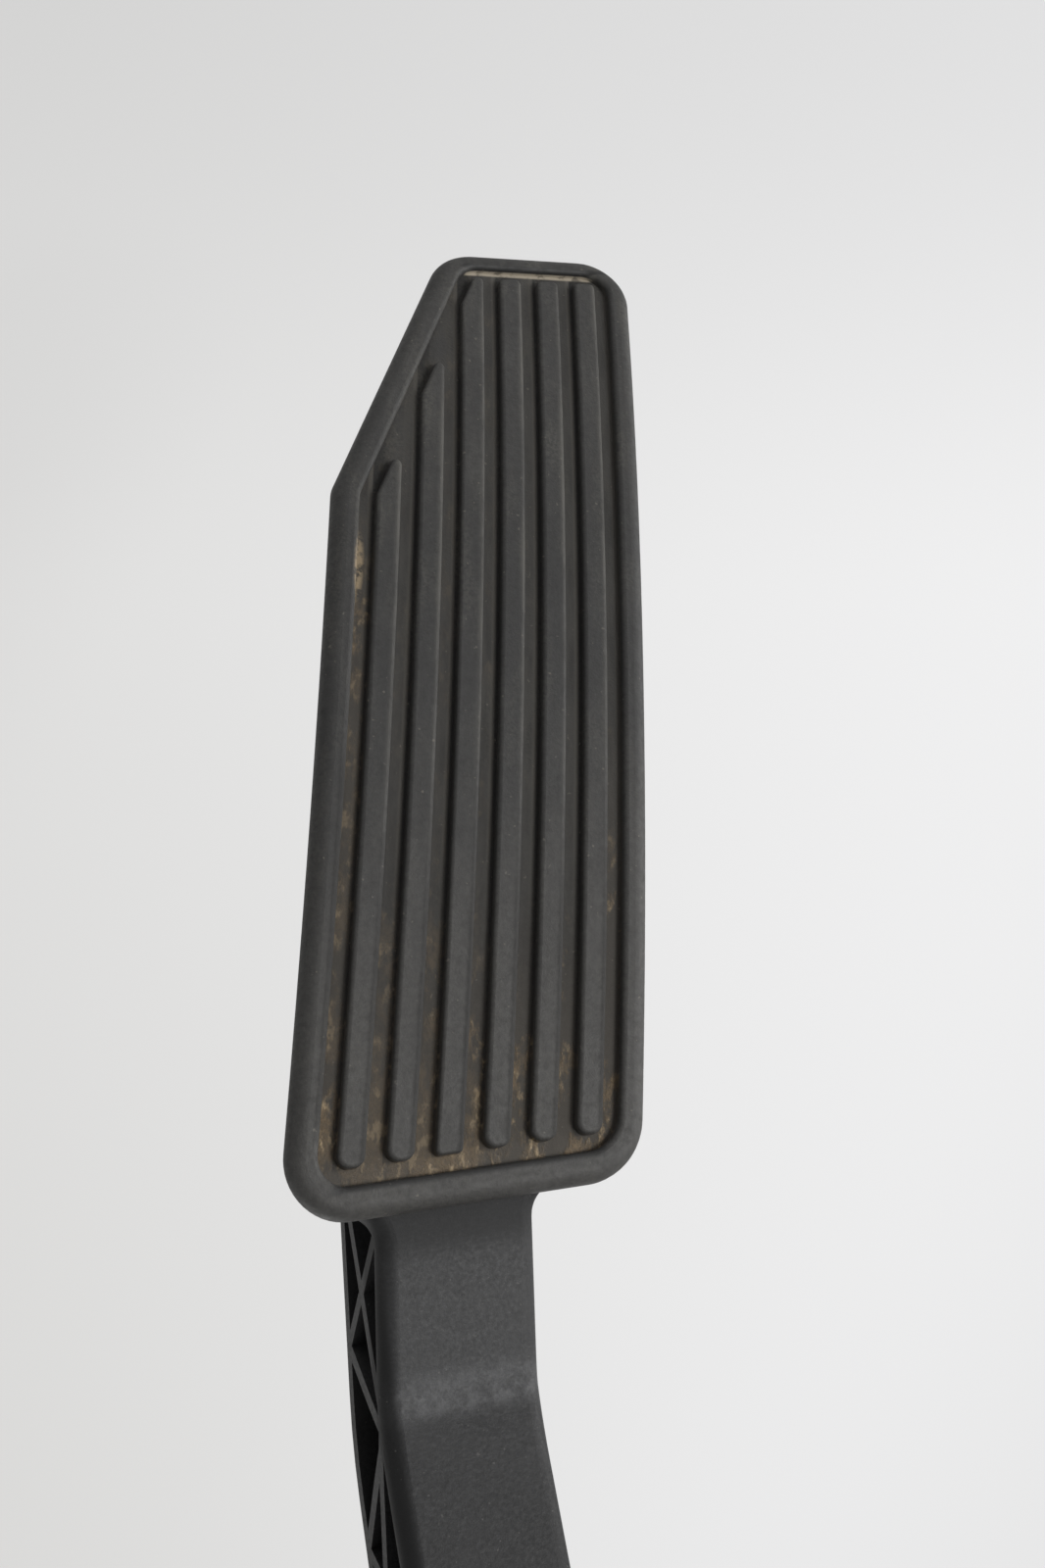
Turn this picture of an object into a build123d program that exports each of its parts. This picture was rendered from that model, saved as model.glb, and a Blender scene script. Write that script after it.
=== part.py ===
from build123d import *
from math import atan2, cos, degrees, radians, sin, sqrt, tan
import os

os.makedirs("parts", exist_ok=True)

# Suspended accelerator pedal module. X is to the driver's right, Y points forward to the bulkhead, Z is up.
# The origin is the middle of the bolt circle on the mounting face, which lies in the plane Y = 0.

# Clearances
seat_gap = 0.02  # between pieces that are fixed to each other
run_gap = 0.05  # radial, at the pivot
slide_gap = 0.4  # round the friction shoe and beside the hub
stop_gap = 0.3  # at the stops and the cam, at the end of the travel

# Pose of the pedal at rest
pad_tilt = 28.0  # pad face from the vertical, toe end towards the driver, degrees
pedal_travel = 16.0  # degrees
pivot_standoff = 42.0  # pivot from the mounting face

# Tread pad
pad_width = 51.4
pad_length = 158.6  # square to the two ends
pad_splay = 13.25  # lean of the sides and ribs from the plane of the arm, degrees
pad_crown = 705.0  # radius of the face in side view
pad_skin = 2.8  # rubber over the face of the foot plate
pad_wall = 2.6  # rubber over the edges of the foot plate
pad_draft = 25.0  # its outer wall leans in below the rounded edge, degrees
pad_edge_round = 2.4  # outer edge of the rim
knee_reach = 25.2  # start of the slanted toe corner, along the near side from mid-pad
knee_angle = 17.5  # slant of that corner from the ribs, degrees
heel_near_radius = 8.0
heel_far_radius = 10.0
toe_far_radius = 8.0
toe_near_radius = 9.5
knee_radius = 6.0
least_radius = 2.0
pad_land = 0.2  # upright strip below the rounded edge
rim_width = 4.2
toe_rim = 3.4  # rim at the toe end
rim_round = 0.8  # inner edge of the rim
tread_depth = 1.7
rib_count = 6
rib_pitch = 6.8
rib_width = 3.9
rib_round = 0.8
rib_corner = 1.6  # of the heel ends, in plan
rib_tip = 0.9  # of the toe ends, in plan
rib_corner_share = 0.4  # of the shortest side of a rib, at most
rib_edge_share = 0.7  # of the radius of a tip, at most
rib_end_gap = 2.3  # floor left open between the rib ends and the rim

# Foot plate and the ribs behind it
plate_thickness = 2.4
spine_length = 122.0  # from the heel end of the pad
spine_rib = 2.2
spine_pitch = 21.0
spine_tip = 3.0  # height of the ribs at their toe end

# Pedal arm
arm_offset = 21.6  # from mid-pad to the plane of the arm
arm_width = 22.8
arm_depth = 16.0  # at the bend
flange = 3.0
rear_flange = 2.0
web = 3.0
neck_step = 1.1  # face of the neck below the face of the foot plate, at the heel
neck_length = 23.8  # heel end of the pad to the bend
neck_angle = 14.1  # face of the neck from the plane of the pad, degrees
arm_length = 104.8  # bend to pivot
arm_angle = 2.2  # face of the arm from the plane of the pad, degrees
rear_angle = 6.4  # back of the arm from the plane of the pad, degrees
bend_radius = 14.0
neck_lean = 5.3  # neck from the plane of the arm, towards mid-pad, degrees
lean_start = 3.0  # middle of the lean below the bend
lean_radius = 150.0
flare_radius = 4.0  # face of the neck into the heel end of the foot plate
flare_spread = 5.2  # beyond each side of the neck
flare_run = 6.0
root_length = 20.0  # arm section carried on behind the pad
arm_round = 2.4
lattice_rib = 1.8
lattice_pitch = 26.4  # short zigzag, front node to front node
lattice_start = 0.4  # first front node of the short zigzag, from the heel end
brace_pitch = 74.0  # long zigzag across the short one
brace_start = -13.0  # first rear node of the long zigzag, from the heel end
least_cell = 5.0  # area of the smallest pocket that is moulded

# Hub, cam and pivot
hub_radius = 13.5
hub_length = 24.0
pivot_depth = 10.6  # pivot below the face of the arm
cam_reach = 28.0
cam_radius = 6.0
cam_root = 6.5
cam_width = 17.0
axle_radius = 4.0
axle_end = 2.6  # axle beyond the side cover
axle_flat = 3.1  # flat for the rotor, from the axis
clip_groove = 0.8
clip_radius = 6.6
clip_thickness = 0.9
bush_wall = 1.5
bush_flange = 8.5
bush_rim = 1.5

# Housing
wall = 3.0
base = 5.0
hub_room = 7.0
lip_drop = 9.0
screw_ear = 4.2
screw_radius = 1.5
screw_head = 3.1
screw_head_height = 2.2
screw_depth = 11.0
ear_length = 15.0
guide_reach = 25.0
case_edge = 1.6  # rounding of the outer edges of the tub
lid_edge = 0.8  # rounding of the lids and lugs
panel_depth = 1.2  # recessed panels of the side cover, between its ribs
panel_margin = 4.0
panel_hub = 11.0
panel_rib = 1.8
panel_ribs = 8

# Mounting flange
bolt_circle = 104.0
bolt_count = 3
bolt_hole = 3.3  # radius
sleeve_wall = 1.7
lug_radius = 9.5
lug_height = 12.0
flange_core = 24.0
gusset = 3.0
gusset_height = 16.0

# Friction shoe and return springs
shoe_height = 22.0
shoe_length = 14.0
shoe_pocket = 9.0
shoe_relief = 4.0  # its face leans back above the cam
sill_setback = 1.6  # end of the housing floor behind the working face of the shoe
outer_coil = 8.6
outer_wire = 1.0
outer_turns = 5.5
inner_coil = 5.2
inner_wire = 0.75
inner_turns = 6.5
spring_pilot = 3.9
pilot_height = 5.0

# Position sensor
chamber_width = 44.0
chamber_height = 40.0
chamber_depth = 11.4
chamber_wall = 2.6
chamber_lobe = 4.5
lobe_inset = 1.0
gasket = 0.6
cover_plate = 2.6
rotor_radius = 9.8
rotor_gap = 1.2
rotor_length = 6.0
magnet_inner = 6.0
magnet_outer = 8.8
magnet_depth = 2.0
board_width = 34.0
board_height = 30.0
board_thickness = 1.6
board_post = 2.0
post_inset = 2.5
chip_width = 4.0
chip_height = 5.0
chip_thickness = 1.0
chip_spacing = 6.4

# Connector
pin_count = 6
pin_pitch = 2.8
pin_width = 0.64
pin_rise = 12.0  # pins above the pivot where they leave the board
pin_tail = 0.6  # beyond the back of the board
socket_width = 21.0
socket_gap = 10.4
socket_depth = 17.0
socket_wall = 1.8
socket_floor = 3.0  # above the bend of the pins
pin_height = 11.0  # above the socket floor
shroud_foot = 4.0  # below the bend of the pins
shroud_round = 1.6
latch_width = 8.0
latch_height = 5.0
latch_step = 1.8
latch_drop = 3.0

# Values that follow from the sizes above
tilt = radians(pad_tilt)
travel = radians(pedal_travel)
splay = radians(pad_splay)
pivot_y = -pivot_standoff
plate_radius = pad_crown - pad_skin
heel_t = -pad_length / 2
heel_n = sqrt(plate_radius**2 - heel_t**2) - pad_crown - neck_step
bend_t = heel_t - neck_length
bend_n = heel_n - neck_length * tan(radians(neck_angle))
pivot_t = bend_t - arm_length
pivot_n = bend_n - arm_length * tan(radians(arm_angle)) - pivot_depth
half_width = hub_length / 2 + slide_gap / 2 + bush_rim
outer_face_x = half_width + wall

# The pedal frame: x along the pivot, y towards the toe, z out of the pad, with its origin at mid-pad.
toe_way = Vector(0, -sin(tilt), -cos(tilt))
face_way = Vector(0, -cos(tilt), sin(tilt))
pad_middle = Vector(-arm_offset, pivot_y, 0) - toe_way * pivot_t - face_way * pivot_n
pedal_frame = Plane(origin=pad_middle, x_dir=(-1, 0, 0), z_dir=face_way)


def crossing(first, second):
    # Point where two lines meet, each given as a point and a direction in the plane
    (ax, ay), (adx, ady) = first
    (bx, by), (bdx, bdy) = second
    span = adx * bdy - ady * bdx
    share = ((bx - ax) * bdy - (by - ay) * bdx) / span
    return (ax + share * adx, ay + share * ady)


def from_pad_axes(across, along):
    # Turns a point given across and along the ribs into the pedal frame
    return (
        across * cos(splay) + along * sin(splay),
        along * cos(splay) - across * sin(splay),
    )


def pad_corners(inset, toe_inset):
    # Corners of the pad, each with its radius, with every side moved in by its inset
    half_wide = pad_width / 2 - inset
    half_long = pad_length / 2 - inset
    knee = radians(knee_angle)
    rib_way = from_pad_axes(0, 1)
    knee_way = from_pad_axes(sin(knee), cos(knee))
    knee_point = from_pad_axes(-pad_width / 2 + inset * cos(knee), knee_reach - inset * sin(knee))
    near = (from_pad_axes(-half_wide, 0), rib_way)
    far = (from_pad_axes(half_wide, 0), rib_way)
    heel = ((0, -half_long), (1, 0))
    toe = ((0, pad_length / 2 - toe_inset), (1, 0))
    slant = (knee_point, knee_way)
    return [
        (crossing(near, heel), heel_near_radius),
        (crossing(heel, far), heel_far_radius),
        (crossing(far, toe), toe_far_radius),
        (crossing(toe, slant), toe_near_radius),
        (crossing(slant, near), knee_radius),
    ]


def pad_outline(inset, toe_inset):
    # Outline with rounded corners
    corners = pad_corners(inset, toe_inset)
    points = [point for point, radius in corners]
    radii = [max(radius - inset, least_radius) for point, radius in corners]
    return make_face(FilletPolyline(*points, radius=radii, close=True))


def crowned(radius):
    # Solid of everything behind the crowned face of the given radius
    length = 2 * (pad_length + pad_width)
    return Pos(0, 0, -pad_crown) * Rot(0, 90, 0) * Cylinder(radius, length)


def through_pad(face):
    # Prism through the whole depth of the pad
    reach = pad_length**2 / (8 * pad_crown) + pad_skin + plate_thickness
    return extrude(Pos(0, 0, -2 * reach) * face, amount=3 * reach)


def strip(start, end, width):
    # Flat bar between two points
    dx = end[0] - start[0]
    dy = end[1] - start[1]
    middle = Pos((start[0] + end[0]) / 2, (start[1] + end[1]) / 2)
    return middle * Rot(0, 0, degrees(atan2(dy, dx))) * Rectangle(sqrt(dx**2 + dy**2), width)


def across(face, start, end):
    # Extrudes a side-view face, drawn in Y and Z, from one X to another
    low = min(start, end)
    return extrude(Plane.YZ.offset(low) * face, amount=abs(end - start))


def disc(x_start, x_end, y, z, radius):
    # Cylinder along X
    return across(Pos(y, z) * Circle(radius), x_start, x_end)


def make_pad():
    # Rubber tread: a dished cover over the foot plate with slanted ribs in a shallow tray
    back = plate_radius - plate_thickness
    pad = (through_pad(pad_outline(0, 0)) & crowned(pad_crown)) - crowned(back)
    top = pad.faces().sort_by(Axis.Z)[-1]
    pad = fillet(top.outer_wire().edges(), pad_edge_round)
    under = pad.faces().filter_by(GeomType.CYLINDER).sort_by_distance((0, 0, back - pad_crown))[0]
    drop = pad_skin + plate_thickness - pad_edge_round - pad_land
    pad = chamfer(under.outer_wire().edges(), drop * tan(radians(pad_draft)), drop, reference=under)
    edge = pad_wall - seat_gap
    plate_room = through_pad(pad_outline(edge, edge)) & crowned(plate_radius + seat_gap)
    pad -= plate_room - crowned(back - pad_skin)
    pad -= (arm_block(seat_gap) + flare_block(seat_gap)) & crowned(plate_radius + seat_gap)
    floor = pad_crown - tread_depth
    pad -= through_pad(pad_outline(rim_width, toe_rim)) - crowned(floor)
    rim = pad.faces().filter_by(GeomType.CYLINDER).sort_by(Axis.Z)[-1]
    pad = fillet(rim.inner_wires()[0].edges(), rim_round)
    field_corners = pad_corners(rim_width + rib_end_gap, toe_rim + rib_end_gap)
    field_points = [point for point, radius in field_corners]
    field = make_face(Polyline(*field_points, close=True))
    sunk = (pad_skin - tread_depth) / 2
    for index in range(rib_count):
        offset_across = (index - (rib_count - 1) / 2) * rib_pitch
        bar = Rot(0, 0, -pad_splay) * Pos(offset_across, 0) * Rectangle(rib_width, 2 * pad_length)
        plan = bar & field
        shortest = min(edge.length for edge in plan.edges())
        corner = min(rib_corner, rib_corner_share * shortest)
        tip = min(rib_tip, corner)
        plan = fillet(plan.vertices().sort_by(Axis.Y)[:2], corner)
        plan = fillet(plan.vertices().sort_by(Axis.Y)[4:], tip)
        rib = (through_pad(plan) & crowned(pad_crown)) - crowned(floor - sunk)
        crest = rib.faces().sort_by(Axis.Z)[-1]
        pad += fillet(crest.outer_wire().edges(), min(rib_round, rib_edge_share * tip))
    return pedal_frame.location * pad


def front_n(t):
    # Face of the arm in side view
    slope = neck_angle if t > bend_t else arm_angle
    return bend_n + (t - bend_t) * tan(radians(slope))


def rear_n(t):
    # Back of the arm in side view
    return bend_n - arm_depth + (t - bend_t) * tan(radians(rear_angle))


def plate_back_n(t):
    # Back of the foot plate in side view
    return sqrt((plate_radius - plate_thickness) ** 2 - t**2) - pad_crown


def zigzag(nodes):
    # Bars from each lattice node to the next
    return [strip(start, end, lattice_rib) for start, end in zip(nodes, nodes[1:])]


def lattice_nodes(start, pitch, first_in_front):
    # Nodes of a zigzag from the given place on the arm to the hub, in turn on the two flanges
    nodes = []
    t = heel_t - start
    in_front = first_in_front
    while t > pivot_t - pitch / 2:
        depth = front_n(t) - flange / 2 if in_front else rear_n(t) + rear_flange / 2
        nodes.append((t, depth))
        t -= pitch / 2
        in_front = not in_front
    return nodes


def above_plate():
    # Space over the foot plate at the heel end of the pad
    over = Pos(heel_t + root_length, 0) * Rectangle(2 * root_length, 2 * arm_depth)
    return across(over, -pad_length, pad_length) - crowned(plate_radius)


def through_pedal(face):
    # Prism square to the pad, through the whole depth of the pedal
    return extrude(face, amount=pad_length, both=True)


def lean_shift(t):
    # Middle of the neck beside the plane of the arm
    return max(t - bend_t + lean_start, 0) * tan(radians(neck_lean))


def arm_outline(front_wall, rear_wall, end_wall):
    # Side view of the arm from behind the pad to the pivot, moved in by the given walls
    root_t = heel_t + root_length - end_wall
    outline = make_face(
        Polyline(
            (root_t, front_n(root_t) - front_wall),
            (bend_t, bend_n - front_wall),
            (pivot_t, front_n(pivot_t) - front_wall),
            (pivot_t, rear_n(pivot_t) + rear_wall),
            (root_t, rear_n(root_t) + rear_wall),
            close=True,
        )
    )
    bend = outline.vertices().sort_by_distance((bend_t, bend_n - front_wall, 0))[0]
    return fillet(bend, bend_radius)


def arm_plan(width):
    # Plan of the arm, square to the pad, with the lean of the neck
    lean_t = bend_t - lean_start
    end_t = heel_t + 2 * root_length
    half = width / 2
    shift = lean_shift(end_t)
    plan = make_face(
        Polyline(
            (-half, pivot_t),
            (half, pivot_t),
            (half, lean_t),
            (half + shift, end_t),
            (shift - half, end_t),
            (-half, lean_t),
            close=True,
        )
    )
    knees = plan.vertices().sort_by_distance((0, lean_t, 0))[:2]
    return Pos(-arm_offset, 0) * fillet(knees, lean_radius)


def arm_block(gap):
    # Solid of the arm without its pockets, grown by the gap
    side = across(arm_outline(-gap, -gap, -gap), -pad_length, pad_length)
    return side & through_pedal(arm_plan(arm_width + 2 * gap))


def round_face_edges(block, top_t):
    # Rounds the long edges of the face of the arm, up to the given place
    edges = [
        edge
        for face in block.faces()
        if face.normal_at().Z > 0.7
        for edge in face.edges()
        if abs((edge % 0.5).Y) > 0.05 and edge.center().Y < top_t
    ]
    return fillet(edges, arm_round)


def flare_block(gap):
    # Face of the neck widened into the heel end of the foot plate, grown by the gap
    width = arm_width + 2 * gap
    low_t = heel_t + pad_wall / 2 - gap
    start_t = low_t - 4 * flare_run
    end_t = low_t + flare_run
    middle = lean_shift(low_t) - arm_offset
    band = Pos(middle, low_t + flare_run / 2) * Rectangle(width + 2 * flare_spread, flare_run)
    plan = arm_plan(width) + band
    corners = [plan.vertices().sort_by_distance((middle + side * width / 2, low_t, 0))[0] for side in (-1, 1)]
    plan = fillet(corners, flare_radius)
    plan &= Pos(middle, low_t - flare_run / 2) * Rectangle(2 * width, 3 * flare_run)
    layer = Polyline(
        (start_t, front_n(start_t) + gap),
        (end_t, front_n(end_t) + gap),
        (end_t, front_n(end_t) - flange - gap),
        (start_t, front_n(start_t) - flange - gap),
        close=True,
    )
    return across(make_face(layer), -pad_length, pad_length) & through_pedal(plan)


def make_arm_beam():
    # I-section arm with crossed lattice ribs in both sides, in the pedal frame
    beam = round_face_edges(arm_block(0), heel_t + root_length)
    cells = arm_outline(flange, rear_flange, flange)
    cells -= Pos(pivot_t, pivot_n) * Circle(hub_radius + flange / 2)
    for bar in zigzag(lattice_nodes(lattice_start, lattice_pitch, True)):
        cells -= bar
    for bar in zigzag(lattice_nodes(brace_start, brace_pitch, False)):
        cells -= bar
    core = through_pedal(arm_plan(web))
    for cell in cells.faces():
        if cell.area > least_cell:
            beam -= across(cell, -pad_length, pad_length) - core
    return beam + round_face_edges(flare_block(0), heel_t) - above_plate()


def make_spine():
    # Tapering ribs behind the foot plate, in line with the tread, in the pedal frame
    root_t = heel_t + root_length
    tip_t = heel_t + spine_length
    side = (arm_width - spine_rib) / 2
    run = (tip_t - root_t) / cos(splay)
    plan = Sketch()
    for edge in (-side, side):
        plan += strip((edge, -root_length / 2), (edge, run), spine_rib)
    steps = int(run / spine_pitch)
    for index in range(steps + 1):
        ends = (-side, side) if index % 2 == 0 else (side, -side)
        low = index * run / (steps + 1)
        high = (index + 1) * run / (steps + 1)
        plan += strip((ends[0], low), (ends[1], high), spine_rib)
    plan = Pos(lean_shift(root_t) - arm_offset, root_t) * Rot(0, 0, -pad_splay) * plan
    depth = make_face(
        Polyline(
            (heel_t, rear_n(heel_t)),
            (root_t, rear_n(root_t)),
            (tip_t, plate_back_n(tip_t) - spine_tip),
            (tip_t, 0),
            (heel_t, 0),
            close=True,
        )
    )
    ribs = through_pedal(plan) & across(depth, -pad_length, pad_length)
    return ribs & crowned(plate_radius - plate_thickness / 2)


cam_way = travel / 2
cam_y = pivot_y - cam_reach * sin(cam_way)
cam_z = -cam_reach * cos(cam_way)


def make_arm():
    # One moulding: foot plate, spine, arm, hub and the cam that works the springs
    plate = (through_pad(pad_outline(pad_wall, pad_wall)) & crowned(plate_radius)) - crowned(
        plate_radius - plate_thickness
    )
    arm = pedal_frame.location * (plate + make_arm_beam() + make_spine())
    half_hub = hub_length / 2
    arm += disc(-half_hub, half_hub, pivot_y, 0, hub_radius)
    root = Pos(pivot_y, 0) * Circle(cam_root)
    nose = Pos(cam_y, cam_z) * Circle(cam_radius)
    lobe = make_hull(root.edges() + nose.edges())
    arm += across(lobe, -cam_width / 2, cam_width / 2)
    arm -= disc(-half_hub, half_hub, pivot_y, 0, axle_radius + seat_gap)
    return arm


# Side view of the housing
case_round = hub_radius + hub_room + wall
driver_y = pivot_y - case_round
lip_z = -lip_drop
shoe_face_y = cam_y + cam_radius + stop_gap
sill_y = shoe_face_y + sill_setback
guide_low = cam_z - shoe_height / 2 - slide_gap
guide_high = cam_z + shoe_height / 2 + slide_gap
floor_z = guide_low - wall
chamber_x = outer_face_x + chamber_depth
cover_x = chamber_x + gasket
ear_rise = case_round + screw_ear / 4
ear_points = [
    (-base - screw_ear, ear_rise),
    (pivot_y - ear_rise * sin(radians(45)), ear_rise * cos(radians(45))),
    (-base - screw_ear, floor_z - screw_ear / 4),
    (sill_y + 2 * screw_ear, floor_z - screw_ear / 4),
]
lobe_points = [
    (pivot_y + side * (chamber_width / 2 - lobe_inset), rise * (chamber_height / 2 - lobe_inset))
    for side in (-1, 1)
    for rise in (-1, 1)
]
bolt_points = [
    (
        bolt_circle / 2 * sin(radians(360 * index / bolt_count)),
        bolt_circle / 2 * cos(radians(360 * index / bolt_count)),
    )
    for index in range(bolt_count)
]


def case_outline():
    # Outer side view: round over the hub, open towards the driver below the lip
    edges = Polyline(
        (driver_y, 0),
        (driver_y, lip_z),
        (sill_y, floor_z),
        (0, floor_z),
        (0, case_round),
        (pivot_y, case_round),
    )
    return make_face(edges.edges() + CenterArc((pivot_y, 0), case_round, 90, 90).edges())


def case_room():
    # Space inside, carried out through the opening for the arm
    inner = case_round - wall
    edges = Polyline(
        (driver_y + wall, 0),
        (driver_y + wall, lip_z - case_round),
        (sill_y, floor_z - case_round),
        (sill_y, guide_low),
        (-base, guide_low),
        (-base, inner),
        (pivot_y, inner),
    )
    return make_face(edges.edges() + CenterArc((pivot_y, 0), inner, 90, 90).edges())


def chamber_outline():
    # Rounded box with a lobe for a screw at each corner
    outline = Pos(pivot_y, 0) * Rectangle(chamber_width, chamber_height)
    for point in lobe_points:
        outline += Pos(*point) * Circle(chamber_lobe)
    return outline


def chamber_room():
    room = Pos(pivot_y, 0) * Rectangle(chamber_width - 2 * chamber_wall, chamber_height - 2 * chamber_wall)
    for point in lobe_points:
        room -= Pos(*point) * Circle(chamber_lobe)
    return room


def on_base(face, height):
    # Extrudes a face drawn in X and Z from the mounting face towards the driver
    return extrude(Plane.XZ * face, amount=height)


def make_housing():
    # Tub open on the left, with the mounting flange behind and the sensor chamber on the right
    body = across(case_outline(), -half_width, outer_face_x)
    outer = body.faces().sort_by(Axis.X)[-1]
    rounded = [edge for edge in outer.edges() if edge.center().Y < -base and edge.center().Z > lip_z]
    body = fillet(rounded, case_edge)
    for point in ear_points:
        body += disc(-half_width, -half_width + ear_length, *point, screw_ear)
    body += across(chamber_outline(), half_width, chamber_x)
    core = Circle(flange_core)
    for x, z in bolt_points:
        lug = Pos(x, z) * Circle(lug_radius)
        body += on_base(make_hull(core.edges() + lug.edges()), base)
        boss = on_base(lug, lug_height)
        body += fillet(boss.faces().sort_by(Axis.Y)[0].edges(), lid_edge)
    fin_start = outer_face_x + 2 * gusset
    fin_end = bolt_circle / 2 - lug_radius + gusset
    fin = make_face(
        Polyline((fin_start, 0), (fin_end, 0), (fin_end, lug_height), (fin_start, gusset_height), close=True)
    )
    fin = extrude(fin, amount=gusset / 2, both=True)
    for index in range(bolt_count):
        turn = Rot(0, 90 + 360 * index / bolt_count - 180, 0)
        body += turn * Rot(180, 0, 0) * fin
    body -= across(case_room(), -half_width, half_width)
    guide = Pos(-base - guide_reach / 2, guide_high + wall / 2) * Rectangle(guide_reach, wall)
    body += across(guide, -half_width, half_width)
    body -= across(chamber_room(), outer_face_x, chamber_x)
    for side in (-1, 1):
        for rise in (-1, 1):
            post_y = pivot_y + side * (board_width / 2 - post_inset)
            post_z = rise * (board_height / 2 - post_inset)
            body += disc(outer_face_x, board_x, post_y, post_z, board_post)
    body += Pos(0, -base, cam_z) * Rot(90, 0, 0) * Cylinder(
        spring_pilot, pilot_height, align=(Align.CENTER, Align.CENTER, Align.MIN)
    )
    body -= disc(0, outer_face_x, pivot_y, 0, axle_radius + bush_wall + seat_gap)
    for point in ear_points:
        body -= disc(-half_width, -half_width + screw_depth, *point, screw_radius + seat_gap)
    for point in lobe_points:
        body -= disc(chamber_x - screw_depth + wall, chamber_x, *point, screw_radius + seat_gap)
    for x, z in bolt_points:
        body -= on_base(Pos(x, z) * Circle(bolt_hole + sleeve_wall + seat_gap), lug_height)
    return body


def make_side_cover():
    # Flat lid on the left of the tub, carrying the left bush
    flange_room = Pos(-base / 2, 0) * Rectangle(base + 2 * seat_gap, 4 * case_round)
    outline = case_outline() - flange_room
    cover = across(outline, -outer_face_x, -half_width)
    panel = offset(outline, amount=-panel_margin, kind=Kind.INTERSECTION)
    panel -= Pos(pivot_y, 0) * Circle(panel_hub)
    for index in range(panel_ribs):
        panel -= Pos(pivot_y, 0) * Rot(0, 0, 180 * index / panel_ribs) * Rectangle(4 * case_round, panel_rib)
    for pocket in panel.faces():
        if pocket.area > least_cell:
            cover -= across(pocket, -outer_face_x, panel_depth - outer_face_x)
    for point in ear_points:
        cover += disc(-outer_face_x, -half_width, *point, screw_ear)
        cover -= disc(-outer_face_x, -half_width, *point, screw_radius + seat_gap)
    cover -= disc(-outer_face_x, -half_width, pivot_y, 0, axle_radius + bush_wall + seat_gap)
    return cover


def make_screw(head_x, way, length, point):
    # Screw along X: a domed round head with its shank pointing the given way
    head = disc(head_x, head_x - way * screw_head_height, *point, screw_head)
    rim = head.faces().sort_by(Axis.X)[0 if way > 0 else -1]
    head = fillet(rim.edges(), screw_head_height / 2)
    return head + disc(head_x, head_x + way * length, *point, screw_radius)


def make_bush(side):
    # Flanged bush in the housing wall, on the right (1) or the left (-1)
    bush = disc(side * half_width, side * outer_face_x, pivot_y, 0, axle_radius + bush_wall)
    bush += disc(side * (half_width - bush_rim), side * half_width, pivot_y, 0, bush_flange)
    bush -= disc(side * (half_width - bush_rim), side * outer_face_x, pivot_y, 0, axle_radius + run_gap)
    return bush


rotor_x = outer_face_x + rotor_gap
rotor_end = rotor_x + rotor_length
board_x = chamber_x - cover_plate
axle_left = -outer_face_x - axle_end
clip_x = -outer_face_x - slide_gap


def axle_section():
    # Round with one flat, where the rotor sits
    keep = 2 * axle_radius
    return Circle(axle_radius) & (Pos(0, axle_flat - axle_radius) * Rectangle(keep, keep))


def make_axle():
    axle = disc(axle_left, rotor_x, pivot_y, 0, axle_radius)
    axle += across(Pos(pivot_y, 0) * axle_section(), rotor_x, rotor_end - magnet_depth)
    groove = disc(clip_x - clip_thickness, clip_x, pivot_y, 0, axle_radius)
    groove -= disc(clip_x - clip_thickness, clip_x, pivot_y, 0, axle_radius - clip_groove)
    return axle - groove


def make_clip():
    # Open retaining ring in the groove of the axle
    inner = axle_radius - clip_groove + seat_gap
    ring = Circle(clip_radius) - Circle(inner)
    ring -= Pos(0, -clip_radius) * Rectangle(1.6 * inner, 2 * clip_radius)
    return across(Pos(pivot_y, 0) * ring, clip_x - clip_thickness + seat_gap, clip_x - seat_gap)


def make_rotor():
    # Disc that holds the ring magnet on the end of the axle
    rotor = disc(rotor_x, rotor_end, pivot_y, 0, rotor_radius)
    bore = offset(axle_section(), amount=seat_gap, kind=Kind.INTERSECTION)
    rotor -= across(Pos(pivot_y, 0) * bore, rotor_x, rotor_end - magnet_depth)
    return rotor - make_magnet(seat_gap)


def make_magnet(gap):
    ring = Circle(magnet_outer + gap) - Circle(magnet_inner - gap)
    return across(Pos(pivot_y, 0) * ring, rotor_end - magnet_depth - gap, rotor_end)


def pin_places():
    return [pivot_y + (index - (pin_count - 1) / 2) * pin_pitch for index in range(pin_count)]


shroud_x = cover_x + cover_plate
pin_x = shroud_x + socket_wall + socket_gap / 2
socket_z = pin_rise + socket_floor


def make_pin(y, gap):
    # Terminal bent from the board up into the socket
    thick = pin_width + 2 * gap
    start_x = board_x - pin_tail
    leg = Pos((start_x + pin_x) / 2, y, pin_rise) * Box(pin_x - start_x + thick, thick, thick)
    top_z = socket_z + pin_height
    post = Pos(pin_x, y, (pin_rise + top_z) / 2) * Box(thick, thick, top_z - pin_rise + thick)
    return leg + post


def make_board():
    board = across(Pos(pivot_y, 0) * Rectangle(board_width, board_height), board_x, board_x + board_thickness)
    for y in pin_places():
        board -= make_pin(y, seat_gap)
    return board


def make_chip(side):
    # Hall sensor on the back of the board, facing the magnet
    face = Pos(pivot_y + side * chip_spacing / 2, 0) * Rectangle(chip_width, chip_height)
    return across(face, board_x - chip_thickness, board_x)


def make_gasket():
    ring = chamber_outline() - chamber_room()
    for point in lobe_points:
        ring -= Pos(*point) * Circle(screw_radius + seat_gap)
    return across(ring, chamber_x, cover_x)


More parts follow.
